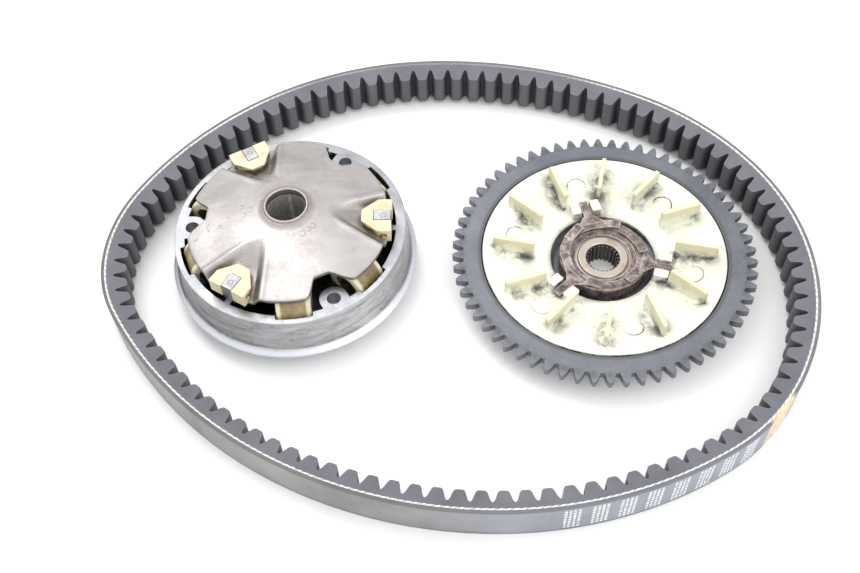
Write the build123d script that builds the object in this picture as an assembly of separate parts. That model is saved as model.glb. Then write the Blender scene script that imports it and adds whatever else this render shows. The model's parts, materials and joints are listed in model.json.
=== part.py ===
from build123d import *
from math import atan2, cos, degrees, hypot, radians, sin, tan
import os

os.makedirs("parts", exist_ok=True)

# A scooter drive set laid out flat: the variator stands inside the belt loop on the left and the
# fixed drive face stands inside it on the right.  Millimetres, +Z up, the floor at Z = 0 and the
# origin under the middle of the belt loop.

# Layout
variator_place = Pos(-62.9, 10.7, 0)
face_place = Pos(58.4, 1.8, 0)

# Belt: a cogged V-belt standing on its edge
belt_width = 18.0
belt_thickness = 9.2
belt_side_angle = 15.0
cover_depth = 1.2
cord_depth = 1.9
gullet_depth = 4.4
cog_count = 97
cog_root_overlap = 0.4
cog_side_step = 0.15
cog_base_width = 6.1
cog_shoulder_width = 4.4
cog_shoulder_drop = 0.9
cog_tip_width = 2.8
loop_phase = -1.5
loop_radii = [95.1, 113.8, 184.3, 134.7, 142.8, 65.7, 54.7, 165.3, 170.5, 158.1]
arc_turn = 30.0

# Variator
sheave_angle = 14.0
crank_radius = 7.5
tube_radius = 10.0
tube_top = 36.5
bush_gap = 0.05
bush_radius = 11.8
hub_radius = 13.9
hub_top = 26.0
flange_radius = 48.2
flange_edge = 0.95
rim_radius = 44.7
rim_top = 26.0
rim_inner_radius = 40.8
channel_radius = 42.6
wall_top = 21.0
post_start = -3.2
post_radius = 35.9
post_length = 6.3
post_width = 4.4
post_top = 33.8
boss_circle_radius = 38.2
boss_radius = 5.4
boss_wall_inner = 6.8
boss_wall_outer = 7.9
boss_hole_radius = 2.6
boss_hole_depth = 6.0
pocket_floor = 12.0
channel_floor = 5.3
channel_width = 13.8
channel_wall = 2.0
channel_turn = 37.0
floor_slope = 36.0
post_pocket_start = 21.0
post_web = 2.4

# Rollers
roller_radius = 8.0
roller_width = 13.0
roller_core_radius = 5.2
roller_bore_radius = 2.6
roller_core_step = 1.5
roller_travel = 8.4
roller_outer_place = 33.4
roller_gap = 0.2

# Ramp plate and its slider guides
plate_radius = 38.7
plate_thickness = 2.05
plate_lip_top = 40.0
plate_lip_radius = 8.4
plate_lip_foot = 39.2
collar_radius = 12.5
collar_height = 37.6
plate_edge_height = 31.8
scallop_radius = 7.2
valley_start = 16.5
valley_end = 36.0
valley_start_floor = 36.4
valley_end_floor = 30.2
valley_start_width = 1.6
valley_end_width = 12.4
slider_inner = 28.0
slider_shoulder = 34.2
slider_outer = 39.4
slider_half_width = 7.75
slider_nose = 2.6
slider_bottom = 27.5
slider_top = 33.7
slider_gap = 0.15

# Heights that follow from the sizes above
plate_fall = (collar_height - plate_edge_height) / (plate_radius - collar_radius)
plate_cos = 1 / hypot(1, plate_fall)
ramp_rise = tan(radians(floor_slope))
roller_roof = collar_height - (roller_outer_place - collar_radius) * plate_fall - plate_thickness
roller_height = roller_roof - roller_radius / plate_cos - roller_gap
ramp_at_roller = roller_height - roller_radius / cos(radians(floor_slope)) - roller_gap
channel_angles = [post_start + 120 * index + side * channel_turn for index in range(3) for side in (-1, 1)]

# Fixed drive face, with the starter ring teeth
tooth_count = 62
tooth_module = 1.85
tip_radius = (tooth_count + 2) * tooth_module / 2
root_radius = tip_radius - 2.25 * tooth_module
first_tooth = -1.79
ring_top = 13.5
ring_bottom = 10.0
seat_radius = 48.0
spline_hub_radius = 10.1
spline_hub_top = 9.9
spline_tip_radius = 5.75
spline_root_radius = 6.5
spline_count = 22
spline_width = 0.85
spline_top = 8.9
face_floor = 4.0

# Fan
fan_radius = 47.4
fan_hole_radius = 20.6
fan_edge_height = 13.9
fan_hole_height = 9.2
fan_thickness = 1.6
blade_count = 12
blade_inner = (27.3, -2.0)
blade_outer = (43.4, -6.7)
blade_top = 19.9
blade_thickness = 1.6
blade_corner = 1.2
peg_circle_radius = 35.1
peg_radius = 4.15
peg_start = 41.2

# Kick-start crown
crown_inner_radius = 10.9
crown_groove_radius = 13.2
crown_groove_depth = 1.7
crown_radius = 17.2
crown_top = 11.6
crown_arm_reach = 27.0
crown_arm_width = 3.2
crown_arm_top = 12.2
crown_arm_bottom = 10.5
crown_start = 101.2
dog_start = 13.0
dog_height = 1.6
dog_length = 8.0
dog_flat = 2.6
washer_top = 9.0
lug_center_radius = 23.2
lug_length = 5.6
lug_width = 3.6
lug_offset = 4.1
lug_top = 13.4


def polar(radius, angle, height=0.0):
    return (radius * cos(radians(angle)), radius * sin(radians(angle)), height)


def turned(shape, angle):
    return Rot(0, 0, angle) * shape


def ring_of(points):
    """Solid of revolution about Z from (radius, height) points."""
    outline = Polyline(*[(r, 0, z) for r, z in points], close=True)
    return revolve(make_face(outline), Axis.Z)


def side_plate(points, thickness):
    """Plate whose (radius, height) outline stands on the XZ plane, centred on it."""
    outline = Polyline(*[(r, 0, z) for r, z in points], close=True)
    return extrude(make_face(outline), thickness / 2, dir=(0, 1, 0), both=True)


def write(shape, name):
    shape.label = name
    export_step(shape, "parts/" + name + ".step")


# ---------------------------------------------------------------- belt

def chord(first, last):
    """Vector along a unit circle from one outward direction to another, in degrees."""
    start = Vector(cos(radians(first)), sin(radians(first)))
    end = Vector(cos(radians(last)), sin(radians(last)))
    return end - start


def loop_arcs():
    """Twelve tangent arcs of the belt's outer line: centre, radius and first direction of each."""
    total = Vector(0, 0)
    for index, radius in enumerate(loop_radii):
        angle = loop_phase + index * arc_turn
        total += chord(angle, angle + arc_turn) * radius
    angle = loop_phase + len(loop_radii) * arc_turn
    a = chord(angle, angle + arc_turn)
    b = chord(angle + arc_turn, angle + 2 * arc_turn)
    cross = a.X * b.Y - a.Y * b.X
    closing = [(b.X * total.Y - b.Y * total.X) / cross, (a.Y * total.X - a.X * total.Y) / cross]
    place = Vector(0, 0)
    arcs = []
    for index, radius in enumerate(loop_radii + closing):
        angle = loop_phase + index * arc_turn
        center = place - Vector(*polar(radius, angle))
        arcs.append([center, radius, angle])
        place = center + Vector(*polar(radius, angle + arc_turn))
    reach = [extreme(arcs, direction) for direction in (0, 90, 180, 270)]
    middle = Vector((reach[0] - reach[2]) / 2, (reach[1] - reach[3]) / 2)
    return [(center - middle, radius, angle) for center, radius, angle in arcs]


def extreme(arcs, direction):
    """How far the outer line reaches in one direction."""
    axis = Vector(cos(radians(direction)), sin(radians(direction)))
    return max((center + Vector(*polar(radius, angle + turn))).dot(axis)
               for center, radius, angle in arcs for turn in range(int(arc_turn) + 1))


def half_height(depth):
    return belt_width / 2 - depth * tan(radians(belt_side_angle))


def belt_layer(arcs, outer_depth, inner_depth):
    pieces = []
    for center, radius, angle in arcs:
        section = [(radius - depth, belt_width / 2 + side * half_height(depth))
                   for depth, side in ((outer_depth, -1), (outer_depth, 1),
                                       (inner_depth, 1), (inner_depth, -1))]
        outline = Polyline(*[(r, 0, z) for r, z in section], close=True)
        arc = revolve(make_face(outline), Axis.Z, revolution_arc=arc_turn)
        pieces.append(Pos(center.X, center.Y, 0) * turned(arc, angle))
    return pieces[0].fuse(*pieces[1:]).clean()


def belt_cog():
    """One cog, with X pointing into the loop and X = 0 on the outer line."""
    root = gullet_depth - cog_root_overlap
    shoulder = belt_thickness - cog_shoulder_drop
    side = [(root, cog_base_width / 2), (gullet_depth, cog_base_width / 2),
            (shoulder, cog_shoulder_width / 2), (belt_thickness, cog_tip_width / 2)]
    outline = Polyline(*side, *[(x, -y) for x, y in reversed(side)], close=True)
    foot = half_height(root) - cog_side_step
    nose = half_height(belt_thickness) - cog_side_step
    middle = belt_width / 2
    wedge = side_plate([(root, middle - foot), (root, middle + foot), (belt_thickness, middle + nose),
                        (belt_thickness, middle - nose)], 20)
    return extrude(make_face(outline), belt_width) & wedge


def belt_undercord(arcs):
    base = belt_layer(arcs, cord_depth, gullet_depth)
    lengths = [(radius - cord_depth) * radians(arc_turn) for _, radius, _ in arcs]
    pitch = sum(lengths) / cog_count
    cog = belt_cog()
    cogs = []
    run = pitch / 2
    for (center, radius, angle), length in zip(arcs, lengths):
        while run < length:
            facing = angle + degrees(run / (radius - cord_depth))
            seat = center + Vector(*polar(radius, facing))
            cogs.append(Pos(seat.X, seat.Y, 0) * Rot(0, 0, facing + 180) * cog)
            run += pitch
        run -= length
    return base.fuse(*cogs)


# ---------------------------------------------------------------- variator

def belt_face(radius):
    return (radius - hub_radius) * tan(radians(sheave_angle))


def channel_cutter():
    """Roller channel along +X, with a flat floor that turns up into the ramp."""
    ramp_start = roller_outer_place - (ramp_at_roller - channel_floor) / ramp_rise
    ramp_end = ramp_at_roller + (channel_radius - roller_outer_place) * ramp_rise
    profile = [(hub_radius - 3, rim_top + 9), (hub_radius - 3, channel_floor), (ramp_start, channel_floor),
               (channel_radius + 2, ramp_end), (channel_radius + 2, rim_top + 9)]
    return side_plate(profile, channel_width) & extrude(Circle(channel_radius), 60)


def post_pocket_outline():
    """Wedge between two roller channels, around a post on +X."""
    offset = (channel_width / 2 + channel_wall) / cos(radians(channel_turn))
    side = [(x, x * tan(radians(channel_turn)) - offset) for x in (post_pocket_start, rim_radius)]
    wedge = Polyline(*side, *[(x, -y) for x, y in reversed(side)], close=True)
    return make_face(wedge) & Circle(rim_inner_radius)


def boss_block():
    """Cover-screw boss on +X, joined to the rim, with a thin wall around it."""
    pad = Circle(boss_radius) + Pos(boss_radius / 2, 0) * Rectangle(boss_radius, 2 * boss_radius)
    wall = Circle(boss_wall_outer) - Circle(boss_wall_inner)
    place = Pos(boss_circle_radius, 0)
    block = extrude(place * pad, rim_top) + extrude(place * wall, wall_top)
    return block & extrude(Circle(rim_radius - 1.0), rim_top)


def post():
    """Square post on +X, with a thin web to the rim."""
    pin = Pos(post_radius, 0, post_top / 2) * Box(post_length, post_width, post_top)
    web_end = rim_radius - 2
    web_start = post_radius
    web = Pos((web_start + web_end) / 2, 0, rim_top / 2) * Box(web_end - web_start, post_web, rim_top)
    return pin + web


def variator_housing():
    shell = ring_of([(bush_radius, 0), (hub_radius, 0), (flange_radius, belt_face(flange_radius)),
                     (flange_radius, belt_face(flange_radius) + flange_edge), (46.8, 10.1), (45.9, 10.8),
                     (45.4, 12.4), (44.9, 16.0), (44.5, 21.6), (44.4, 23.6), (rim_radius, 24.2),
                     (rim_radius, rim_top), (rim_inner_radius, rim_top), (rim_inner_radius, wall_top),
                     (hub_radius, wall_top), (hub_radius, hub_top), (bush_radius, hub_top)])
    hub = ring_of([(bush_radius, 0), (hub_radius, 0), (hub_radius, hub_top), (bush_radius, hub_top)])
    channel = channel_cutter()
    for angle in channel_angles:
        shell -= turned(channel, angle)
    pocket = Pos(0, 0, pocket_floor) * extrude(post_pocket_outline(), 30)
    for index in range(3):
        shell -= turned(pocket, post_start + 120 * index)
    above_face = ring_of([(bush_radius, 1.0), (hub_radius, 1.0),
                          (flange_radius, belt_face(flange_radius) + 1.0), (flange_radius, 60), (bush_radius, 60)])
    for index in range(3):
        shell += turned(post(), post_start + 120 * index) & above_face
        shell += turned(boss_block(), post_start + 60 + 120 * index) & above_face
    shell += hub
    hole = Pos(boss_circle_radius, 0, rim_top - boss_hole_depth) * extrude(Circle(boss_hole_radius), 30)
    for index in range(3):
        shell -= turned(hole, post_start + 60 + 120 * index)
    return shell.clean()


def variator_bush():
    return ring_of([(tube_radius + bush_gap, 0), (bush_radius, 0), (bush_radius, hub_top),
                    (tube_radius + bush_gap, hub_top)])


def guide_tube():
    return ring_of([(crank_radius, 0), (tube_radius, 0), (tube_radius, tube_top), (crank_radius, tube_top)])


def slider_outline(grow):
    """Guide outline on +X, a blunt arrow that points at the axis."""
    half = slider_half_width + grow
    nose = slider_nose + grow
    side = [(slider_inner - grow, nose), (slider_shoulder, half), (slider_outer, half)]
    return Polyline(*side, *[(x, -y) for x, y in reversed(side)], close=True)


def valley(grow):
    """Pressed valley on +X that deepens from the dome towards a slider guide."""
    above = 46
    sections = []
    for place, floor, width in ((valley_start, valley_start_floor, valley_start_width),
                                (valley_end, valley_end_floor, valley_end_width)):
        upright = Plane(origin=(place, 0, 0), x_dir=(0, 1, 0), z_dir=(1, 0, 0))
        section = Rectangle(width + 2 * grow, above - floor + grow)
        sections.append(upright * Pos(0, (floor - grow + above) / 2) * section)
    return loft(sections)


def ramp_plate():
    dome = ring_of([(crank_radius, tube_top), (crank_radius, plate_lip_top), (plate_lip_radius, plate_lip_top),
                    (plate_lip_radius + 0.2, plate_lip_foot), (collar_radius, collar_height),
                    (plate_radius, plate_edge_height),
                    (plate_radius, plate_edge_height - plate_thickness),
                    (collar_radius, collar_height - plate_thickness), (11.0, tube_top - 0.6),
                    (tube_radius + 0.1, tube_top)])
    under = ring_of([(collar_radius, 20), (collar_radius, collar_height), (plate_radius, plate_edge_height),
                     (plate_radius, 20)])
    outline = Circle(plate_radius)
    for index in range(3):
        outline -= Pos(*polar(boss_circle_radius, post_start + 60 + 120 * index)) * Circle(scallop_radius)
    outline = fillet(outline.vertices(), 3.2)
    for index in range(3):
        dome += turned(valley(plate_thickness), post_start + 120 * index) & under
    for index in range(3):
        dome -= turned(valley(0), post_start + 120 * index)
    dome = dome & extrude(outline, 60)
    notch = extrude(make_face(slider_outline(-1.2)), 60) + Pos(slider_outer, 0, 0) * Box(4, 13.1, 120)
    for index in range(3):
        dome -= turned(notch, post_start + 120 * index)
    return dome


def slider_guide(index, plate):
    blank = Pos(0, 0, slider_bottom) * extrude(make_face(slider_outline(0)), slider_top - slider_bottom)
    inner = post_radius - post_length / 2 - slider_gap
    slot_length = 20
    slot = Pos(inner + slot_length / 2, 0, 30) * Box(slot_length, post_width + 2 * slider_gap, 40)
    guide = turned(blank - slot, post_start + 120 * index) - plate
    return max(guide.solids(), key=lambda solid: solid.volume)


def roller_ring(outer, inner, width, round_off):
    ring = extrude(Circle(outer) - Circle(inner), width / 2, both=True)
    rims = [e for e in ring.edges().filter_by(GeomType.CIRCLE) if abs(e.radius - outer) < 0.01]
    if round_off:
        ring = fillet(rims, round_off)
    return ring


def at_channel(shape, angle):
    """Turn a roller's axis across its channel and put it against the outer end of the ramp."""
    placed = Pos(roller_outer_place, 0, roller_height) * Rot(90, 0, 0) * shape
    return turned(placed, angle)


# ---------------------------------------------------------------- fixed drive face

def ring_teeth():
    """Starter ring teeth, each with bowed flanks."""
    pitch_radius = tip_radius - tooth_module
    foot, waist, tip = 2.15, 1.42, 0.55
    root = root_radius - 0.4
    flank_a = ThreePointArc((root, -foot), (pitch_radius, -waist), (tip_radius, -tip))
    flank_b = ThreePointArc((tip_radius, tip), (pitch_radius, waist), (root, foot))
    outline = flank_a + Line((tip_radius, -tip), (tip_radius, tip)) + flank_b + Line((root, foot), (root, -foot))
    tooth = Pos(0, 0, ring_bottom) * extrude(make_face(outline), ring_top - ring_bottom)
    return [turned(tooth, first_tooth + 360 / tooth_count * index) for index in range(tooth_count)]


def fixed_face():
    disc = ring_of([(spline_hub_radius, 0), (hub_radius, 0), (48.5, belt_face(48.5)), (50.4, ring_bottom),
                    (root_radius, ring_bottom), (root_radius, ring_top), (seat_radius, ring_top),
                    (seat_radius - 0.3, 12.1), (20.0, face_floor + 0.6), (19.0, face_floor),
                    (spline_hub_radius, face_floor)])
    return disc.fuse(*ring_teeth()).clean()


def spline_hub():
    hub = ring_of([(spline_root_radius, 0), (spline_hub_radius, 0), (spline_hub_radius, spline_hub_top - 0.5),
                   (spline_hub_radius - 0.5, spline_hub_top), (spline_root_radius + 0.4, spline_hub_top),
                   (spline_root_radius, spline_hub_top - 0.4)])
    length = spline_root_radius - spline_tip_radius + 0.3
    tooth = Pos(spline_tip_radius + length / 2, 0, spline_top / 2) * Box(length, spline_width, spline_top)
    return hub.fuse(*[turned(tooth, 360 / spline_count * index) for index in range(spline_count)])


def fan_surface(radius):
    slope = (fan_edge_height - fan_hole_height) / (fan_radius - fan_hole_radius)
    return fan_edge_height - (fan_radius - radius) * slope


def fan_blade():
    """Upright vane on a chord that leans back from the radius."""
    inner = Vector(*polar(*blade_inner))
    outer = Vector(*polar(*blade_outer))
    length = (outer - inner).length
    foot_inner = fan_surface(blade_inner[0]) - 0.8
    foot_outer = fan_surface(blade_outer[0]) - 0.8
    vane = side_plate([(0, foot_inner), (length, foot_outer), (length, blade_top), (0, blade_top)], blade_thickness)
    corners = [e for e in vane.edges().filter_by(Axis.Y) if e.center().Z > blade_top - 0.1]
    vane = fillet(corners, blade_corner)
    lean = degrees(atan2(outer.Y - inner.Y, outer.X - inner.X))
    return Pos(inner.X, inner.Y, 0) * turned(vane, lean)


def crown_lugs():
    """Two lugs on the fan that hold one crown arm between them, with the arm on +X."""
    floor = fan_surface(lug_center_radius) - 1.0
    lug = Pos(lug_center_radius, lug_offset, (floor + lug_top) / 2) * Box(lug_length, lug_width, lug_top - floor)
    lug = fillet(lug.edges().filter_by(Axis.Z), 0.5)
    return [lug, mirror(lug, Plane.XZ)]


def fan(face):
    sheet = ring_of([(fan_hole_radius, fan_hole_height - fan_thickness), (fan_hole_radius, fan_hole_height),
                     (fan_radius - 0.5, fan_edge_height), (fan_radius, fan_edge_height - 0.4),
                     (fan_radius, fan_edge_height - fan_thickness)])
    extras = []
    for index in range(3):
        extras += [turned(lug, crown_start + 120 * index) for lug in crown_lugs()]
    peg_top = fan_surface(peg_circle_radius) - 0.9
    peg = Pos(peg_circle_radius, 0, 6) * extrude(Circle(peg_radius), peg_top - 6)
    extras += [turned(peg, peg_start + 60 * index) for index in range(6)]
    mark = extrude(Circle(peg_radius) - Circle(peg_radius - 0.45), 8)
    mark_floor = fan_surface(peg_circle_radius) - 0.2
    sheet = sheet.fuse(*extras)
    for index in range(6):
        sheet -= turned(Pos(peg_circle_radius, 0, mark_floor) * mark, peg_start + 60 * index)
    sheet = sheet - face
    return max(sheet.solids(), key=lambda solid: solid.volume)


def fan_vanes(sheet):
    """Twelve separate vanes that stand on the fan."""
    vane = fan_blade()
    return Compound([turned(vane - sheet, 360 / blade_count * index) for index in range(blade_count)])


def kick_crown():
    ring = ring_of([(crown_inner_radius, face_floor), (crown_radius, face_floor),
                    (crown_radius, crown_top - 0.4), (crown_radius - 0.4, crown_top),
                    (crown_groove_radius, crown_top), (crown_groove_radius, crown_top - crown_groove_depth),
                    (crown_inner_radius, crown_top - crown_groove_depth - 0.2)])
    arm_length = crown_arm_reach - crown_radius + 1.5
    arm = Pos(crown_arm_reach - arm_length / 2, 0, (crown_arm_top + crown_arm_bottom) / 2)
    arm = arm * Box(arm_length, crown_arm_width, crown_arm_top - crown_arm_bottom)
    wing = Polyline((crown_radius - 2.2, -6.0), (crown_radius + 2.4, -crown_arm_width / 2),
                    (crown_radius + 2.4, crown_arm_width / 2), (crown_radius - 2.2, 6.0), close=True)
    wing = Pos(0, 0, crown_arm_bottom - 1.4) * extrude(make_face(wing), crown_arm_top - crown_arm_bottom + 1.4)
    for index in range(3):
        ring += turned(arm, crown_start + 120 * index)
        ring += turned(wing, crown_start + 120 * index)
    steep = -dog_length / 2
    ramp = Polyline((0, steep, 0), (0, steep, dog_height), (0, steep + dog_flat, dog_height),
                    (0, steep + dog_length, 0), close=True)
    dog = extrude(make_face(ramp), crown_radius - crown_groove_radius - 0.4, dir=(1, 0, 0))
    dog = Pos(crown_groove_radius, 0, crown_top - 0.05) * dog
    for index in range(6):
        ring += turned(dog, dog_start + 60 * index)
    return ring


def hub_washer():
    """Thin spacer ring between the crown's recess and the splined hub."""
    return ring_of([(spline_hub_radius, face_floor), (crown_inner_radius, face_floor),
                    (crown_inner_radius, washer_top), (spline_hub_radius, washer_top)])


def build():
    arcs = loop_arcs()
    write(belt_layer(arcs, 0, cover_depth), "belt_cover")
    write(belt_layer(arcs, cover_depth, cord_depth), "belt_cord")
    write(belt_undercord(arcs), "belt_cogs")

    write(variator_place * variator_housing(), "variator_housing")
    write(variator_place * variator_bush(), "variator_bush")
    write(variator_place * guide_tube(), "guide_tube")
    plate = ramp_plate()
    write(variator_place * plate, "ramp_plate")
    for index in range(3):
        write(variator_place * slider_guide(index, plate), f"slider_guide_{index + 1}")
    sleeve = roller_ring(roller_radius, roller_core_radius, roller_width, 0.8)
    weight = roller_ring(roller_core_radius, roller_bore_radius, roller_width - roller_core_step, 0)
    for index, angle in enumerate(channel_angles):
        write(variator_place * at_channel(sleeve, angle), f"roller_sleeve_{index + 1}")
        write(variator_place * at_channel(weight, angle), f"roller_weight_{index + 1}")

    face = fixed_face()
    write(face_place * face, "fixed_face")
    write(face_place * spline_hub(), "spline_hub")
    sheet = fan(face)
    write(face_place * sheet, "fan")
    write(face_place * fan_vanes(sheet), "fan_vanes")
    write(face_place * kick_crown(), "kick_crown")
    write(face_place * hub_washer(), "hub_washer")


build()
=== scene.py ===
import json
from math import cos, degrees, exp, pi, radians, sin, tau

import bpy
from mathutils import Matrix, Vector


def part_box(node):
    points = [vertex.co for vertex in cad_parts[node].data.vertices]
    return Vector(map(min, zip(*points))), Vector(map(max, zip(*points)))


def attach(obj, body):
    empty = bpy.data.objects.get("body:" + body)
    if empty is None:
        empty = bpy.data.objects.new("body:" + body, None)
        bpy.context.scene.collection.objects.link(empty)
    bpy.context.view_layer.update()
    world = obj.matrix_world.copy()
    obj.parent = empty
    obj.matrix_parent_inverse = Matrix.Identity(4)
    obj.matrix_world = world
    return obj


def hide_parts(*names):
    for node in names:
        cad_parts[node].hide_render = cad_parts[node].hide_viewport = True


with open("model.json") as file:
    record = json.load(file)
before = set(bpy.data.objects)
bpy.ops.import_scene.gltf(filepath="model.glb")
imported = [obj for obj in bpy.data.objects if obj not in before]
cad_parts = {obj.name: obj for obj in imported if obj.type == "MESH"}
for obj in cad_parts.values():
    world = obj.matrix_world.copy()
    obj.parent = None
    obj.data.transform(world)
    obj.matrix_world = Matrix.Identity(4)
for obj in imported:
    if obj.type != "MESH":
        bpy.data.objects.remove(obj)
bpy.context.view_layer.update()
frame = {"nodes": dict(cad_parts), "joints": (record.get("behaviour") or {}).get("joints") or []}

MM = 0.001
joint_places = {j["name"]: Vector(j["pos_m"]) for j in frame["joints"] if "pos_m" in j}
variator_axis = joint_places["variator_spin"]
face_axis = joint_places["drive_face_spin"]
belt_low, belt_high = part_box("belt_cover")
belt_middle = (belt_low + belt_high) / 2

# Belt section and loop, as in the CAD source
BELT_WIDTH = 18.0 * MM
BELT_THICKNESS = 9.2 * MM
BELT_SIDE = 0.2679
COVER_DEPTH = 1.2 * MM
CORD_DEPTH = 1.9 * MM
GULLET_DEPTH = 4.4 * MM
COG_COUNT = 97
LOOP_PHASE = -1.5
ARC_TURN = 30.0
LOOP_RADII = [95.1, 113.8, 184.3, 134.7, 142.8, 65.7, 54.7, 165.3, 170.5, 158.1]

# Variator
POST_START = -3.2
POST_RADIUS = 35.9 * MM
POST_TOP = 33.8 * MM
BOSS_CIRCLE = 38.2 * MM
BOSS_HOLE = 2.9 * MM
PLATE_RADIUS = 38.6 * MM
PLATE_THICKNESS = 1.9 * MM
ROLLER_RADIUS = 8.0 * MM
ROLLER_CORE = 5.2 * MM
ROLLER_WIDTH = 13.0 * MM


# ---------------------------------------------------------------- materials

class Paint:
    """One procedural material and short calls that add nodes to it."""

    def __init__(self, name, **sockets):
        self.material = bpy.data.materials.new(name)
        self.material.use_nodes = True
        self.tree = self.material.node_tree
        self.shader = self.tree.nodes["Principled BSDF"]
        self.coords = self.tree.nodes.new("ShaderNodeTexCoord")
        for socket, value in sockets.items():
            self.shader.inputs[socket.replace("_", " ")].default_value = value

    def node(self, kind, inputs=(), **settings):
        made = self.tree.nodes.new("ShaderNode" + kind)
        for key, value in settings.items():
            setattr(made, key, value)
        for key, value in dict(inputs).items():
            self.feed(made.inputs[key], value)
        return made

    def feed(self, socket, value):
        if isinstance(value, bpy.types.NodeSocket):
            self.tree.links.new(value, socket)
        else:
            socket.default_value = value

    def into(self, socket, value):
        self.feed(self.shader.inputs[socket], value)

    def place(self, origin=(0, 0, 0), stretch=(1, 1, 1)):
        """Object coordinates, moved to an origin and stretched."""
        shift = self.node("VectorMath", {0: self.coords.outputs["Object"], 1: tuple(origin)},
                          operation="SUBTRACT")
        return self.node("VectorMath", {0: shift.outputs[0], 1: tuple(stretch)},
                         operation="MULTIPLY").outputs[0]

    def noise(self, scale, detail=4.0, rough=0.55, at=None, twist=0.0):
        made = self.node("TexNoise", {"Scale": scale, "Detail": detail, "Roughness": rough,
                                      "Distortion": twist,
                                      "Vector": at or self.coords.outputs["Object"]})
        return made.outputs["Fac"]

    def ramp(self, source, *stops):
        """Colour ramp; each stop is (place, value) with a grey value or an RGB triple."""
        made = self.node("ValToRGB", {"Fac": source})
        points = made.color_ramp.elements
        while len(points) < len(stops):
            points.new(0.5)
        for point, (place, value) in zip(points, stops):
            point.position = place
            rgb = value if isinstance(value, tuple) else (value,) * 3
            point.color = (*rgb, 1)
        return made.outputs["Color"]

    def math(self, kind, a, b=0.0, clamp=False):
        made = self.node("Math", {0: a, 1: b}, operation=kind, use_clamp=clamp)
        return made.outputs[0]

    def step(self, source, low, high):
        """0 below low, 1 above high, smooth between."""
        made = self.node("MapRange", {"Value": source, "From Min": low, "From Max": high},
                         interpolation_type="SMOOTHSTEP")
        return made.outputs["Result"]

    def fall(self, source, low, high):
        """1 below low, 0 above high, smooth between."""
        return self.invert(self.step(source, low, high))

    def band(self, source, rise_from, rise_to, fall_from, fall_to):
        """1 between two edges, 0 outside them, smooth at both."""
        return self.product(self.step(source, rise_from, rise_to), self.fall(source, fall_from, fall_to))

    def band_mm(self, source, *edges):
        return self.band(source, *[edge * MM for edge in edges])

    def invert(self, mask):
        return self.math("SUBTRACT", 1.0, mask)

    def product(self, first, *others):
        for other in others:
            first = self.math("MULTIPLY", first, other)
        return first

    def mix(self, factor, a, b):
        made = self.node("Mix", data_type="RGBA", blend_type="MIX")
        for index, value in ((0, factor), (6, a), (7, b)):
            if isinstance(value, tuple):
                value = (*value, 1)
            self.feed(made.inputs[index], value)
        return made.outputs[2]

    def bump(self, height, distance, strength=1.0, over=None):
        made = self.node("Bump", {"Height": height, "Distance": distance, "Strength": strength})
        if over is not None:
            self.feed(made.inputs["Normal"], over)
        return made.outputs[0]

    def axes(self, vector):
        made = self.node("SeparateXYZ", {0: vector})
        return made.outputs[0], made.outputs[1], made.outputs[2]

    def length(self, x, y):
        return self.math("SQRT", self.math("ADD", self.product(x, x), self.product(y, y)))

    def around(self, origin):
        """Radius and angle about an upright axis, and height."""
        x, y, z = self.axes(self.place(origin))
        return self.length(x, y), self.math("ARCTAN2", y, x), z

    def upward(self):
        """Height part of the surface's own normal."""
        return self.axes(self.coords.outputs["Normal"])[2]

    def crevice(self, distance, low=0.35, high=0.9):
        """1 in creases and corners, 0 on open faces."""
        made = self.node("AmbientOcclusion", {"Distance": distance}, samples=8)
        return self.math("SUBTRACT", 1.0, self.step(made.outputs["AO"], low, high))

    def from_third(self, angle, start):
        """Angle from the nearest of three directions 120 degrees apart, in radians, unsigned."""
        third = radians(120)
        turned = self.math("MODULO", self.math("ADD", angle, third / 2 - radians(start) + tau), third)
        return self.math("ABSOLUTE", self.math("SUBTRACT", turned, third / 2))

    def boss_distance(self):
        """Distance on plan from the nearest cover-screw boss."""
        radius, angle, _ = self.around(variator_axis)
        off = self.from_third(angle, POST_START + 60)
        along = self.math("SUBTRACT", self.product(radius, self.math("COSINE", off)), BOSS_CIRCLE)
        return self.length(along, self.product(radius, self.math("SINE", off)))

    def stamp_marks(self, axis):
        """A few small open rings pressed beside the bore, as (direction, reach, size)."""
        half_line, opening = 0.13 * MM, 2.4
        rings = ((178, 14.2, 1.2), (172, 17.6, 0.9), (186, 16.4, 1.0),
                 (-62, 13.6, 1.1), (-50, 13.2, 0.9), (-40, 13.4, 1.0))
        marks = 0.0
        for turn, reach, size in rings:
            spot = axis + Vector((cos(radians(turn)), sin(radians(turn)), 0)) * reach * MM
            distance, around, _ = self.around(spot)
            off_line = self.math("ABSOLUTE", self.math("SUBTRACT", distance, size * MM))
            line = self.math("LESS_THAN", off_line, half_line)
            broken = self.math("LESS_THAN", self.math("ABSOLUTE", around), opening)
            marks = self.math("MAXIMUM", marks, self.product(line, broken))
        return marks

    def wear(self, radius, gain=6.0):
        """1 along sharp edges, from how far a bevelled normal leans from the true one."""
        bent = self.node("Bevel", {"Radius": radius}, samples=6)
        true = self.node("NewGeometry")
        dot = self.node("VectorMath", {0: bent.outputs[0], 1: true.outputs["Normal"]},
                        operation="DOT_PRODUCT").outputs["Value"]
        return self.math("MULTIPLY", self.math("SUBTRACT", 1.0, dot), gain, clamp=True)


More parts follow.
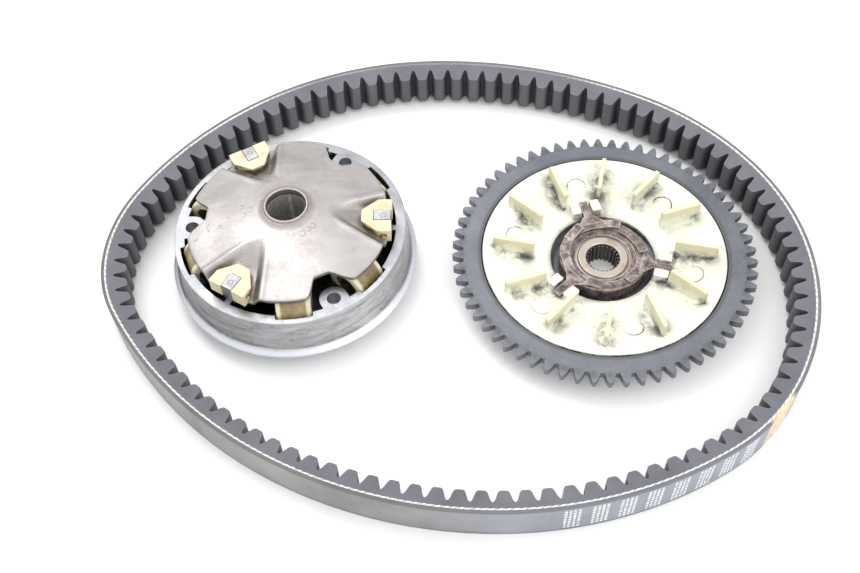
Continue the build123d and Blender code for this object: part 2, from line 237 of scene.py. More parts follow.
def rubber_cogs():
    m = Paint("cog_rubber", Roughness=0.7)
    flat = m.step(m.math("ABSOLUTE", m.upward()), 0.6, 0.9)
    grain = m.noise(1100, 5, 0.6)
    cloud = m.noise(55, 5, 0.6)
    moulded = m.ramp(cloud, (0.3, (0.062, 0.066, 0.072)), (0.7, (0.105, 0.11, 0.118)))
    ground = m.ramp(cloud, (0.3, (0.095, 0.096, 0.113)), (0.7, (0.145, 0.147, 0.17)))
    colour = m.mix(flat, moulded, ground)
    patchy = m.ramp(m.noise(260, 5), (0.35, 0.05), (0.7, 0.6))
    dust = m.math("MULTIPLY", m.wear(0.0006), patchy, clamp=True)
    colour = m.mix(dust, colour, (0.27, 0.28, 0.30))
    speck = m.step(m.noise(650, 3), 0.68, 0.74)
    colour = m.mix(m.product(speck, 0.35), colour, (0.33, 0.33, 0.34))
    # painted shade: the cog faces go near black in the gullets between cogs, where ambient occlusion finds
    # creases
    gullet_shade = m.product(m.crevice(0.004, 0.3, 0.85), m.invert(flat))
    m.into("Base Color", m.mix(m.product(gullet_shade, 0.6), colour, (0.022, 0.023, 0.026)))
    m.into("Roughness", m.ramp(cloud, (0.3, 0.55), (0.7, 0.75)))
    m.into("Normal", m.bump(grain, 0.00014, 0.5, m.bump(cloud, 0.0003, 0.2)))
    return m.material


def print_mask(m, along, across):
    """Groups of short dotted columns across the belt's back, in one stretch of the loop."""
    columns_per_loop, first_column, columns_per_group, drawn_columns = 480.0, 3.0, 6.2, 3.9
    columns = m.math("ADD", m.product(along, columns_per_loop), first_column)
    group = m.math("FLOOR", m.math("DIVIDE", columns, columns_per_group))
    inside = m.math("MODULO", columns, columns_per_group)
    drawn = m.math("LESS_THAN", inside, drawn_columns)
    pick = m.node("TexWhiteNoise", {"W": group}, noise_dimensions="1D").outputs["Value"]
    drawn = m.product(drawn, m.math("GREATER_THAN", pick, 0.02))
    stroke = m.math("LESS_THAN", m.math("FRACT", inside), 0.62)
    dots = m.math("LESS_THAN", m.math("FRACT", m.product(across, 9.0)), 0.74)
    inner = m.product(m.math("GREATER_THAN", across, 0.10), m.math("LESS_THAN", across, 0.90))
    stretch = m.band(along, 0.790, 0.792, 0.892, 0.894)
    return m.product(m.product(m.product(drawn, stroke), m.product(dots, inner)), stretch)


def belt_back():
    m = Paint("belt_back", Roughness=0.5)
    along, across, _ = m.axes(m.coords.outputs["UV"])
    weave = m.noise(1500, 2, 0.5)
    cloud = m.noise(35, 6, 0.65)
    worn = m.noise(90, 5, 0.6, m.place(stretch=(1, 1, 0.25)))
    warm = m.ramp(cloud, (0.3, (0.165, 0.158, 0.155)), (0.72, (0.31, 0.30, 0.295)))
    cool = m.ramp(cloud, (0.3, (0.21, 0.225, 0.265)), (0.72, (0.30, 0.315, 0.36)))
    new_side = m.step(along, 0.70, 0.80)
    base = m.mix(new_side, warm, cool)
    base = m.mix(m.product(m.step(worn, 0.5, 0.72), 0.5), base, (0.14, 0.135, 0.135))
    rim = m.invert(m.band(across, 0.02, 0.10, 0.90, 0.98))
    base = m.mix(m.product(rim, 0.65), base, (0.07, 0.07, 0.078))
    ink_wear = m.ramp(m.noise(800, 3), (0.35, 0.35), (0.55, 0.95))
    ink = m.product(print_mask(m, along, across), ink_wear)
    dab_wear = m.ramp(m.noise(200, 4), (0.35, 0.3), (0.55, 0.9))
    dab = m.product(m.band(along, 0.899, 0.902, 0.916, 0.922), dab_wear)
    base = m.mix(dab, base, (0.78, 0.60, 0.36))
    m.into("Base Color", m.mix(ink, base, (0.80, 0.82, 0.84)))
    m.into("Roughness", m.ramp(cloud, (0.3, 0.42), (0.7, 0.6)))
    m.into("Normal", m.bump(weave, 0.00008, 0.35))
    return m.material


def cord_white():
    m = Paint("cord_white", Roughness=0.8)
    along, across, _ = m.axes(m.coords.outputs["UV"])
    fibre = m.noise(900, 4)
    twist = m.math("FRACT", m.math("ADD", m.product(along, 290.0), m.product(across, 30.0)))
    gap = m.invert(m.band(twist, 0.0, 0.14, 0.86, 1.0))
    x, y, _ = m.axes(m.coords.outputs["Object"])
    behind = m.math("SUBTRACT", y, m.product(m.math("ABSOLUTE", x), 0.45))
    thread = m.ramp(fibre, (0.35, (0.50, 0.495, 0.47)), (0.65, (0.86, 0.855, 0.82)))
    thread = m.mix(m.product(gap, 0.75), thread, (0.16, 0.16, 0.17))
    # the cord is painted darker towards the back of the loop, in patches
    back_dimming_patches = m.ramp(m.noise(60, 3), (0.3, 0.75), (0.7, 1.0))
    back_dimming = m.product(m.step(behind, 0.045, 0.075), back_dimming_patches)
    m.into("Base Color", m.mix(back_dimming, thread, (0.19, 0.19, 0.22)))
    m.into("Normal", m.bump(fibre, 0.0001, 0.6))
    return m.material


def turned_aluminium(m, radius, height, blot):
    """Machined faces: fine rings, a dull stained rim top and a bright flange."""
    rings = m.noise(2600, 2, 0.5, m.node("CombineXYZ", {0: radius}).outputs[0])
    bright = m.ramp(rings, (0.3, (0.44, 0.45, 0.475)), (0.7, (0.56, 0.57, 0.60)))
    bright = m.mix(m.product(m.step(blot, 0.5, 0.68), 0.4), bright, (0.29, 0.29, 0.30))
    shine = m.noise(48, 5, 0.6, m.place(variator_axis, (1, 1, 0.2)), 0.4)
    top = m.product(m.step(m.upward(), 0.7, 0.95), m.step(height, 0.0250, 0.0256))
    dull = m.ramp(shine, (0.35, (0.17, 0.173, 0.182)), (0.65, (0.33, 0.335, 0.35)))
    bright = m.mix(m.product(top, 0.85), bright, dull)
    outer = m.product(m.step(radius, 0.0441, 0.0446), top)
    bright = m.mix(m.product(outer, 0.6), bright, (0.15, 0.15, 0.155))
    return m.mix(m.step(radius, 0.0462, 0.0470), bright, (0.62, 0.64, 0.68))


def cast_aluminium():
    m = Paint("cast_aluminium", Metallic=1.0, Roughness=0.35)
    radius, _, height = m.around(variator_axis)
    streak = m.noise(75, 7, 0.65, m.place(variator_axis, (1, 1, 5)), 0.4)
    pits = m.noise(750, 6, 0.7)
    blot = m.noise(230, 5, 0.65)
    side = m.fall(m.math("ABSOLUTE", m.upward()), 0.35, 0.7)
    lip = m.step(height, 0.0238, 0.0243)
    wall = m.band_mm(radius, 43.6, 44.0, 46.2, 47.0)
    drum = m.product(m.product(wall, side), m.invert(m.product(lip, 0.6)))
    cast = m.ramp(streak, (0.3, (0.31, 0.31, 0.31)), (0.48, (0.48, 0.48, 0.485)),
                  (0.62, (0.60, 0.60, 0.61)), (0.78, (0.74, 0.74, 0.755)))
    cast = m.mix(m.product(m.step(blot, 0.58, 0.7), 0.5), cast, (0.19, 0.18, 0.17))
    colour = m.mix(drum, turned_aluminium(m, radius, height, blot), cast)
    # painted shade inside the housing's cavity: its walls go near black, in patches, except in the boss
    # holes
    inner = m.product(m.fall(radius, 0.0424, 0.0429), m.fall(height, 0.0235, 0.0257))
    above = m.step(height, 0.0085, 0.0105)
    cavity_shade = m.product(m.product(inner, above), m.ramp(blot, (0.35, 0.75), (0.6, 1.0)))
    in_boss_hole = m.math("LESS_THAN", m.boss_distance(), BOSS_HOLE)
    cavity_shade = m.product(cavity_shade, m.invert(in_boss_hole))
    colour = m.mix(cavity_shade, colour, (0.035, 0.037, 0.042))
    # painted shade with grime: darker where ambient occlusion finds creases and corners
    crease_shade_and_grime = m.product(m.crevice(0.003, 0.3, 0.8), 0.6)
    smooth_rough = m.ramp(pits, (0.3, 0.30), (0.7, 0.46))
    cast_rough = m.ramp(pits, (0.3, 0.5), (0.7, 0.74))
    m.into("Base Color", m.mix(crease_shade_and_grime, colour, (0.10, 0.09, 0.08)))
    m.into("Roughness", m.mix(drum, smooth_rough, cast_rough))
    m.into("Normal", m.bump(pits, 0.00025, 0.3, m.bump(streak, 0.0005, 0.25)))
    return m.material


def bronze():
    m = Paint("bronze", Metallic=1.0, Roughness=0.35)
    cloud = m.noise(250, 5)
    m.into("Base Color", m.ramp(cloud, (0.3, (0.36, 0.25, 0.13)), (0.7, (0.62, 0.46, 0.28))))
    m.into("Roughness", m.ramp(cloud, (0.3, 0.3), (0.7, 0.5)))
    m.into("Normal", m.bump(m.noise(900, 4), 0.00008, 0.3))
    return m.material


def roller_core():
    m = Paint("roller_core", Metallic=0.9, Roughness=0.4)
    cloud = m.noise(300, 5)
    m.into("Base Color", m.ramp(cloud, (0.3, (0.10, 0.085, 0.06)), (0.7, (0.28, 0.24, 0.18))))
    m.into("Normal", m.bump(cloud, 0.0001, 0.3))
    return m.material


def ground_steel():
    m = Paint("ground_steel", Metallic=0.75, Roughness=0.25)
    _, angle, height = m.around(variator_axis)
    unrolled = m.node("CombineXYZ", {0: angle, 1: m.product(height, 6.0)}).outputs[0]
    rub = m.noise(60, 6, 0.6, unrolled, 0.3)
    base = m.ramp(rub, (0.3, (0.30, 0.29, 0.26)), (0.7, (0.68, 0.67, 0.64)))
    # painted highlight: a thin bluish-white streak down the tube at one fixed direction, standing in for a
    # reflection
    highlight_angle = 1.50
    line = m.fall(m.math("ABSOLUTE", m.math("SUBTRACT", angle, highlight_angle)), 0.04, 0.13)
    line = m.product(line, m.ramp(m.noise(420, 3), (0.35, 0.2), (0.6, 1.0)))
    m.into("Base Color", m.mix(line, base, (0.93, 0.95, 1.0)))
    m.into("Roughness", m.ramp(rub, (0.3, 0.2), (0.7, 0.38)))
    m.into("Normal", m.bump(m.noise(1300, 3, 0.6), 0.00006, 0.3))
    return m.material


def pressed_steel():
    m = Paint("pressed_steel", Metallic=1.0, Roughness=0.4)
    radius, angle, _ = m.around(variator_axis)
    cloud = m.noise(38, 6, 0.62)
    fine = m.noise(620, 6, 0.7)
    brushed = m.noise(90, 5, 0.6, m.place(variator_axis, (1, 3, 1)), 0.5)
    colour = m.ramp(cloud, (0.28, (0.33, 0.305, 0.295)), (0.5, (0.42, 0.395, 0.385)),
                    (0.75, (0.50, 0.48, 0.475)))
    colour = m.mix(m.product(m.step(brushed, 0.45, 0.7), 0.22), colour, (0.60, 0.59, 0.585))

    in_valley = m.product(m.fall(m.from_third(angle, POST_START), 0.0, 0.28), m.step(radius, 0.018, 0.030))
    stain = m.product(in_valley, m.ramp(m.noise(170, 6, 0.7, None, 0.6), (0.38, 0.15), (0.62, 1.0)))
    colour = m.mix(m.product(stain, 0.72), colour, (0.20, 0.145, 0.10))
    spots = m.step(m.noise(210, 5, 0.6), 0.67, 0.73)
    colour = m.mix(m.product(spots, 0.55), colour, (0.13, 0.105, 0.09))
    lines = m.noise(75, 2, 0.4, m.place(variator_axis, (2.4, 0.5, 1)), 1.2)
    scratch = m.fall(m.math("ABSOLUTE", m.math("SUBTRACT", lines, 0.5)), 0.002, 0.009)
    scratch = m.product(scratch, m.step(m.noise(55, 3), 0.56, 0.64))
    colour = m.mix(m.product(scratch, 0.6), colour, (0.16, 0.14, 0.13))

    lip = m.fall(radius, 0.0083, 0.0086)
    lip_shade = m.band_mm(radius, 8.5, 8.9, 9.2, 10.2)
    colour = m.mix(m.product(lip_shade, 0.35), colour, (0.22, 0.18, 0.16))
    colour = m.mix(m.product(lip, 0.55), colour, (0.34, 0.28, 0.26))
    pressed = m.stamp_marks(variator_axis)
    colour = m.mix(m.product(pressed, 0.5), colour, (0.17, 0.14, 0.13))
    edge = m.product(m.wear(0.0005), 0.4)
    m.into("Base Color", m.mix(edge, colour, (0.72, 0.70, 0.68)))
    m.into("Roughness", m.ramp(fine, (0.3, 0.36), (0.7, 0.54)))
    relief = m.bump(fine, 0.00014, 0.2, m.bump(cloud, 0.0012, 0.25))
    m.into("Normal", m.bump(m.product(pressed, -1.0), 0.0001, 0.5, relief))
    return m.material


def slider_plastic():
    m = Paint("slider_plastic", Roughness=0.42)
    cloud = m.noise(120, 5, 0.6)
    base = m.ramp(cloud, (0.3, (0.58, 0.46, 0.27)), (0.65, (0.72, 0.63, 0.43)))
    # brown oil with painted shade: darker where ambient occlusion finds creases, in patches
    oil_and_crease_shade = m.product(m.crevice(0.004, 0.3, 0.85), m.ramp(m.noise(260, 5), (0.35, 0.3), (0.6, 1.0)))
    smear = m.product(m.step(m.noise(150, 5, 0.6, None, 0.6), 0.56, 0.7), 0.6)
    colour = m.mix(smear, base, (0.34, 0.22, 0.10))
    m.into("Base Color", m.mix(oil_and_crease_shade, colour, (0.16, 0.10, 0.045)))
    m.into("Roughness", m.ramp(cloud, (0.3, 0.3), (0.7, 0.5)))
    m.into("Normal", m.bump(m.noise(900, 4), 0.0001, 0.25))
    return m.material


def roller_nylon():
    m = Paint("roller_nylon", Roughness=0.35)
    _, along, _ = m.axes(m.coords.outputs["UV"])
    cloud = m.noise(110, 6, 0.65)
    middle = m.band(along, 0.10, 0.17, 0.83, 0.90)
    cream = m.ramp(cloud, (0.3, (0.52, 0.46, 0.30)), (0.7, (0.72, 0.68, 0.50)))
    brown = m.ramp(cloud, (0.3, (0.11, 0.075, 0.028)), (0.5, (0.24, 0.18, 0.085)),
                   (0.72, (0.42, 0.35, 0.20)))
    m.into("Base Color", m.mix(middle, cream, brown))
    m.into("Roughness", m.ramp(cloud, (0.3, 0.22), (0.7, 0.42)))
    m.into("Normal", m.bump(m.noise(700, 4), 0.0001, 0.2))
    return m.material


def dark_steel():
    m = Paint("dark_steel", Metallic=0.55, Roughness=0.5)
    radius, _, _ = m.around(face_axis)
    cloud = m.noise(42, 6, 0.6)
    fine = m.noise(950, 5, 0.65)
    base = m.ramp(cloud, (0.3, (0.112, 0.119, 0.139)), (0.7, (0.188, 0.196, 0.221)))
    grain = m.ramp(m.noise(420, 5, 0.7), (0.35, 0.0), (0.7, 1.0))
    base = m.mix(m.product(grain, 0.22), base, (0.25, 0.255, 0.275))
    rub = m.product(m.wear(0.0005), 0.5)
    colour = m.mix(rub, base, (0.42, 0.42, 0.44))
    # painted shade: a dark band on the gear face at the fan's outer edge
    fan_foot_shade = m.band_mm(radius, 47.4, 48.2, 48.6, 50.0)
    colour = m.mix(m.product(fan_foot_shade, 0.55), colour, (0.06, 0.06, 0.066))
    tooth_root = m.band_mm(radius, 53.5, 55.2, 56.2, 58.0)
    tooth_root = m.product(tooth_root, m.ramp(m.noise(240, 4), (0.4, 0.0), (0.65, 0.6)))
    colour = m.mix(tooth_root, colour, (0.075, 0.068, 0.062))
    # painted shade with grime: near black where ambient occlusion finds creases and corners
    crease_shade_and_grime = m.product(m.crevice(0.0025, 0.3, 0.8), 0.6)
    m.into("Base Color", m.mix(crease_shade_and_grime, colour, (0.03, 0.03, 0.032)))
    m.into("Roughness", m.ramp(fine, (0.3, 0.42), (0.7, 0.62)))
    m.into("Normal", m.bump(fine, 0.00012, 0.3))
    return m.material


def hub_steel():
    m = Paint("hub_steel", Metallic=0.9, Roughness=0.35)
    radius, _, _ = m.around(face_axis)
    rings = m.noise(2000, 3, 0.5, m.node("CombineXYZ", {0: radius}).outputs[0])
    cloud = m.noise(120, 5)
    base = m.ramp(rings, (0.3, (0.38, 0.34, 0.30)), (0.7, (0.58, 0.55, 0.51)))
    tan_band = m.band_mm(radius, 8.0, 8.5, 9.3, 9.8)
    base = m.mix(m.product(tan_band, 0.5), base, (0.52, 0.40, 0.26))
    rust = m.product(m.step(cloud, 0.52, 0.68), 0.55)
    colour = m.mix(rust, base, (0.26, 0.15, 0.08))
    # painted shade: the inside of the spline bore goes near black
    bore_shade = m.fall(radius, 0.0065, 0.0068)
    m.into("Base Color", m.mix(m.product(bore_shade, 0.85), colour, (0.055, 0.048, 0.042)))
    m.into("Roughness", m.ramp(cloud, (0.3, 0.28), (0.7, 0.5)))
    m.into("Normal", m.bump(rings, 0.00006, 0.4))
    return m.material


def worn_steel():
    m = Paint("worn_steel", Metallic=0.7, Roughness=0.5)
    cloud = m.noise(260, 7, 0.72)
    fine = m.noise(950, 5, 0.7)
    base = m.ramp(cloud, (0.35, (0.075, 0.05, 0.045)), (0.5, (0.20, 0.155, 0.14)),
                  (0.64, (0.42, 0.385, 0.37)))
    base = m.mix(m.product(m.step(m.noise(600, 5), 0.55, 0.7), 0.5), base, (0.42, 0.38, 0.36))
    edge = m.product(m.wear(0.0007), 0.85)
    m.into("Base Color", m.mix(edge, base, (0.58, 0.53, 0.50)))
    m.into("Roughness", m.ramp(fine, (0.3, 0.34), (0.7, 0.58)))
    m.into("Normal", m.bump(fine, 0.0003, 0.45, m.bump(cloud, 0.0005, 0.3)))
    return m.material


def fan_plastic():
    m = Paint("fan_plastic", Roughness=0.42)
    radius, _, height = m.around(face_axis)
    cloud = m.noise(45, 5, 0.6)
    base = m.ramp(cloud, (0.3, (0.69, 0.695, 0.57)), (0.7, (0.79, 0.795, 0.70)))
    tall = m.step(height, 0.0140, 0.0175)
    aged = m.mix(m.product(tall, 0.85), base, (0.67, 0.61, 0.39))
    smear = m.ramp(m.noise(120, 6, 0.68, None, 0.15), (0.45, 0.0), (0.58, 1.0))
    # painted shade with grime: near black between the blades where ambient occlusion finds deep corners,
    # in smeared patches
    crease_shade_and_grime = m.product(m.crevice(0.008, 0.5, 0.97), smear)
    colour = m.mix(m.product(crease_shade_and_grime, 0.92), aged, (0.050, 0.046, 0.042))
    cloudy = m.step(m.noise(33, 5, 0.65, m.place(face_axis), 0.5), 0.55, 0.70)
    patch = m.product(cloudy, m.ramp(m.noise(420, 5), (0.4, 0.0), (0.62, 0.7)))
    colour = m.mix(m.product(patch, 0.45), colour, (0.30, 0.27, 0.21))
    inner = m.fall(radius, 0.0208, 0.0225)
    m.into("Base Color", m.mix(m.product(inner, 0.4), colour, (0.22, 0.20, 0.16)))
    m.into("Roughness", m.ramp(cloud, (0.3, 0.34), (0.7, 0.5)))
    m.into("Normal", m.bump(m.noise(700, 4), 0.0001, 0.18))
    return m.material


# ---------------------------------------------------------------- meshes

def add_mesh(name, points, faces, material, body, uv=None, stands_for=()):
    """New smooth-shaded piece in the row frame, riding on a body."""
    mesh = bpy.data.meshes.new(name)
    mesh.from_pydata([tuple(p) for p in points], [], faces)
    mesh.validate()
    mesh.shade_smooth()
    if uv:
        layer = mesh.uv_layers.new(name="UVMap")
        for face in mesh.polygons:
            shares = [uv[v][0] for v in face.vertices]
            crosses = max(shares) - min(shares) > 0.5
            for loop, vertex in zip(face.loop_indices, face.vertices):
                u, v = uv[vertex]
                layer.data[loop].uv = (u + 1 if crosses and u < 0.5 else u, v)
    piece = bpy.data.objects.new(name, mesh)
    bpy.context.scene.collection.objects.link(piece)
    mesh.materials.append(material)
    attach(piece, body)
    if stands_for:
        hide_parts(*stands_for)
    return piece


def sharpen(piece, angle):
    """Keep edges steeper than an angle crisp."""
    piece.data.set_sharp_from_angle(angle=radians(angle))


def grid_faces(rows, columns, wrap_rows=False, wrap_columns=False):
    faces = []
    for i in range(rows if wrap_rows else rows - 1):
        for j in range(columns if wrap_columns else columns - 1):
            a, b = i * columns + j, i * columns + (j + 1) % columns
            c, d = (i + 1) % rows * columns + (j + 1) % columns, (i + 1) % rows * columns + j
            faces.append((a, b, c, d))
    return faces


# ---------------------------------------------------------------- belt

def unit(angle):
    return Vector((cos(radians(angle)), sin(radians(angle))))


def loop_arcs():
    """Centre, radius and first outward direction of the belt's twelve tangent arcs, in metres."""
    total = Vector((0, 0))
    for index, radius in enumerate(LOOP_RADII):
        angle = LOOP_PHASE + index * ARC_TURN
        total += radius * (unit(angle + ARC_TURN) - unit(angle))
    angle = LOOP_PHASE + len(LOOP_RADII) * ARC_TURN
    a = unit(angle + ARC_TURN) - unit(angle)
    b = unit(angle + 2 * ARC_TURN) - unit(angle + ARC_TURN)
    cross = a.x * b.y - a.y * b.x
    closing = [(b.x * total.y - b.y * total.x) / cross, (a.y * total.x - a.x * total.y) / cross]
    place = Vector((0, 0))
    arcs = []
    for index, radius in enumerate(LOOP_RADII + closing):
        angle = LOOP_PHASE + index * ARC_TURN
        center = place - radius * unit(angle)
        arcs.append((center * MM, radius * MM, angle))
        place = center + radius * unit(angle + ARC_TURN)
    outline = [c + r * unit(angle + turn) for c, r, angle in arcs for turn in range(int(ARC_TURN) + 1)]
    middle = Vector([(max(p[k] for p in outline) + min(p[k] for p in outline)) / 2 for k in (0, 1)])
    shift = Vector((belt_middle.x, belt_middle.y)) - middle
    return [(c + shift, r, angle) for c, r, angle in arcs]


LOOP = loop_arcs()
CORD_LENGTHS = [(radius - CORD_DEPTH) * radians(ARC_TURN) for _, radius, _ in LOOP]
LOOP_LENGTH = sum(CORD_LENGTHS)


def loop_point(share):
    """Point on the belt's outer line and its outward direction, at a share of the loop."""
    run = (share % 1.0) * LOOP_LENGTH
    for (center, radius, angle), length in zip(LOOP, CORD_LENGTHS):
        if run <= length:
            outward = unit(angle + degrees(run / (radius - CORD_DEPTH)))
            return center + radius * outward, outward
        run -= length
    center, radius, angle = LOOP[0]
    return center + radius * unit(angle), unit(angle)


def half_height(depth):
    return BELT_WIDTH / 2 - depth * BELT_SIDE


def belt_ring(name, stations, material, stands_for):
    """Closed ring through cross sections; each station is (share, [(depth, height), ...])."""
    points, uv = [], []
    for share, section in stations:
        place, outward = loop_point(share)
        for depth, height in section:
            at = place - outward * depth
            points.append((at.x, at.y, height))
            uv.append((share, height / BELT_WIDTH))
    faces = grid_faces(len(stations), len(stations[0][1]), True, True)
    sharpen(add_mesh(name, points, faces, material, "belt", uv, stands_for), 32)


def section_of(depths, round_outer=0.0, side_in=0.0):
    """Closed V-section through outer and inner depths, listed once round."""
    first, last = depths[0], depths[-1]
    middle = BELT_WIDTH / 2
    top = [(d, middle + half_height(d) - side_in) for d in depths]
    bottom = [(d, middle - half_height(d) + side_in) for d in reversed(depths)]
    if round_outer:
        high, low = top[0][1], bottom[-1][1]
        top[0:1] = [(first, high - round_outer), (first + 0.3 * round_outer, high - 0.3 * round_outer),
                    (first + round_outer, high)]
        bottom[-1:] = [(first + round_outer, low), (first + 0.3 * round_outer, low + 0.3 * round_outer),
                       (first, low + round_outer)]
    inner = [(last, top[-1][1] + (bottom[0][1] - top[-1][1]) * t / 5) for t in range(1, 5)]
    outer = [(first, bottom[-1][1] + (top[0][1] - bottom[-1][1]) * t / 4) for t in range(1, 4)]
    return top + inner + bottom + outer


def cog_depth(phase):
    """Inner depth over one pitch: narrow round gullets between wide round-nosed cogs."""
    x = abs((phase % 1.0) - 0.5) * 2
    flat, nose, foot = 0.26, 0.56, 0.80
    nose_drop, foot_rise = 1.0 * MM, 0.8 * MM
    high, low = BELT_THICKNESS - nose_drop, GULLET_DEPTH + foot_rise
    if x < nose:
        return BELT_THICKNESS - nose_drop * max(0.0, (x - flat) / (nose - flat)) ** 2.4
    if x > foot:
        t = (x - foot) / (1 - foot)
        return GULLET_DEPTH + foot_rise * (1 - t) ** 2.2
    return high + (low - high) * (x - nose) / (foot - nose)


def make_belt():
    per_cog = 18
    stations = []
    for index in range(COG_COUNT * per_cog):
        share = index / (COG_COUNT * per_cog)
        depth = cog_depth(index / per_cog)
        depths = [CORD_DEPTH, GULLET_DEPTH * 0.75, GULLET_DEPTH - 0.05 * MM,
                  (GULLET_DEPTH + depth) / 2, depth]
        stations.append((share, section_of(depths)))
    belt_ring("belt_cogs_moulded", stations, rubber_cogs(), ["belt_cogs"])

    count = 720
    cover = section_of([0.0, COVER_DEPTH], 0.35 * MM)
    stations = [(i / count, cover) for i in range(count)]
    belt_ring("belt_cover_cloth", stations, belt_back(), ["belt_cover"])

    twists = 290
    per_twist = 8
    cord_depths = [COVER_DEPTH, (COVER_DEPTH + CORD_DEPTH) / 2, CORD_DEPTH]
    cord_stations = []
    for index in range(twists * per_twist):
        swell = 0.16 * MM * sin(pi * (index % per_twist) / per_twist)
        section = section_of(cord_depths, 0, 0.1 * MM - swell)
        cord_stations.append((index / (twists * per_twist), section))
    belt_ring("belt_cord_strands", cord_stations, cord_white(), ["belt_cord"])


# ---------------------------------------------------------------- ramp plate

def smooth(t):
    t = max(0.0, min(1.0, t))
    return t * t * (3 - 2 * t)


def plate_edge(angle):
    """Outline radius of the ramp plate in one direction: bites at the bosses, notches at the guides."""
    boss = (angle - POST_START) % 120 - 60
    bite = smooth((boss + 15.5) / 9.5) * (1 - smooth((boss - 2.0) / 13.5))
    edge = PLATE_RADIUS + 0.25 * MM * sin(radians(3 * boss)) - 7.2 * MM * bite
    t = radians(abs((angle - POST_START + 60) % 120 - 60))
    nose_x, nose_y, side_x, side_y = 30.4 * MM, 1.6 * MM, 34.2 * MM, 6.9 * MM
    if nose_x * sin(t) <= nose_y * cos(t):
        return nose_x / cos(t)
    if side_x * sin(t) <= side_y * cos(t):
        slope = (side_y - nose_y) / (side_x - nose_x)
        return (slope * nose_x - nose_y) / (slope * cos(t) - sin(t))
    return edge


def dome_height(radius, angle):
    """Top of the ramp plate, with its thin lip and the three pressed valleys."""
    r = radius / MM
    lip, lip_foot, collar, collar_height, fall = 8.4, 8.75, 12.5, 37.6, 0.2214
    if r < lip:
        return (40.0 - 0.35 * (abs(r - 7.95) / 0.45) ** 4) * MM
    if r < lip_foot:
        height = 39.65 - 0.75 * smooth((r - lip) / (lip_foot - lip))
    elif r < collar:
        dip = 0.2 * sin(pi * (r - lip_foot) / (collar - lip_foot)) ** 2
        height = collar_height + (collar - r) * 0.35 - dip
    else:
        height = collar_height - (r - collar) * fall
    turn = (angle - POST_START + 60) % 120 - 60
    x, y = r * cos(radians(turn)), abs(r * sin(radians(turn)))
    if x > 14:
        half = 1.2 + (x - 16.5) * 0.50
        depth = 3.0 * smooth((x - 15.0) / 13)
        height -= depth * (1 - smooth((y - half + 1.9) / 3.4))
        height += 0.35 * smooth((x - 17) / 8) * exp(-((y - half - 2.2) / 1.3) ** 2)
    boss = abs((angle - POST_START) % 120 - 60)
    height += 0.25 * smooth((r - 22) / 10) * cos(radians(min(boss, 30) * 6))
    return height * MM


def plate_section(angle):
    """Closed radial section of the ramp plate: top outwards, rounded rim, underside inwards."""
    bore, lip_out = 7.5 * MM, 9.6 * MM
    lip_rows, rows = 14, 46
    ease, corner = 0.45 * MM, 0.14 * MM

    def at(radius, height):
        turn = radians(angle)
        return (variator_axis.x + radius * cos(turn), variator_axis.y + radius * sin(turn), height)

    edge = plate_edge(angle)
    radii = [bore + (lip_out - bore) * j / lip_rows for j in range(lip_rows)]
    radii += [lip_out + (edge - ease - lip_out) * j / (rows - 1) for j in range(rows)]
    under_lip = dome_height(9 * MM, angle)
    heights = [dome_height(r, angle) for r in radii]
    top = [at(r, height) for r, height in zip(radii, heights)]
    base = [at(r, min(height, under_lip) - PLATE_THICKNESS) for r, height in zip(radii, heights)]
    rim_top = heights[-1]
    rim_base = rim_top - PLATE_THICKNESS
    rim = [at(edge - 0.3 * ease, rim_top - corner), at(edge, rim_top - ease),
           at(edge, rim_base + ease), at(edge - 0.3 * ease, rim_base + corner)]
    return top + rim + base[::-1]


def make_ramp_plate():
    around = 1080
    points = []
    for i in range(around):
        points += plate_section(360 * i / around)
    faces = grid_faces(around, len(points) // around, True, True)
    piece = add_mesh("ramp_plate_pressed", points, faces, pressed_steel(), "ramp_set",
                     stands_for=["ramp_plate"])
    sharpen(piece, 40)


# ---------------------------------------------------------------- rollers and small rings

def lathe(name, profile, center, axis, steps, material, body, stands_for=()):
    """Closed ring turned from (radius, place along the axis) points, with V running along the axis."""
    axis = Vector(axis).normalized()
    side = axis.orthogonal().normalized()
    other = axis.cross(side)
    points, uv = [], []
    low = min(a for _, a in profile)
    span = max(a for _, a in profile) - low
    for i in range(steps):
        turn = tau * i / steps
        arm = side * cos(turn) + other * sin(turn)
        for radius, along in profile:
            points.append(center + arm * radius + axis * along)
            uv.append((i / steps, (along - low) / span))
    faces = grid_faces(steps, len(profile), True, True)
    return add_mesh(name, points, faces, material, body, uv, stands_for)


def make_rollers(nylon, dark_metal):
    half, ease = ROLLER_WIDTH / 2, 0.9 * MM
    corner = [(ROLLER_RADIUS - ease + ease * sin(radians(a)), half - ease + ease * cos(radians(a)))
              for a in range(0, 91, 15)]
    belly = [(ROLLER_RADIUS, half * t) for t in (0.6, 0.3, 0.0, -0.3, -0.6)]
    outside = corner + belly + [(r, -a) for r, a in reversed(corner)]
    sleeve = [(ROLLER_CORE, half)] + outside + [(ROLLER_CORE, -half), (ROLLER_CORE, 0)]
    for number in range(1, 7):
        low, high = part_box(f"roller_sleeve_{number}")
        center = (low + high) / 2
        outward = Vector((center.x - variator_axis.x, center.y - variator_axis.y, 0))
        along = outward.cross(Vector((0, 0, 1)))
        sharpen(lathe(f"roller_turned_{number}", sleeve, center, along, 96, nylon, f"roller_{number}",
                      [f"roller_sleeve_{number}"]), 50)
        finish_node(f"roller_weight_{number}", dark_metal)


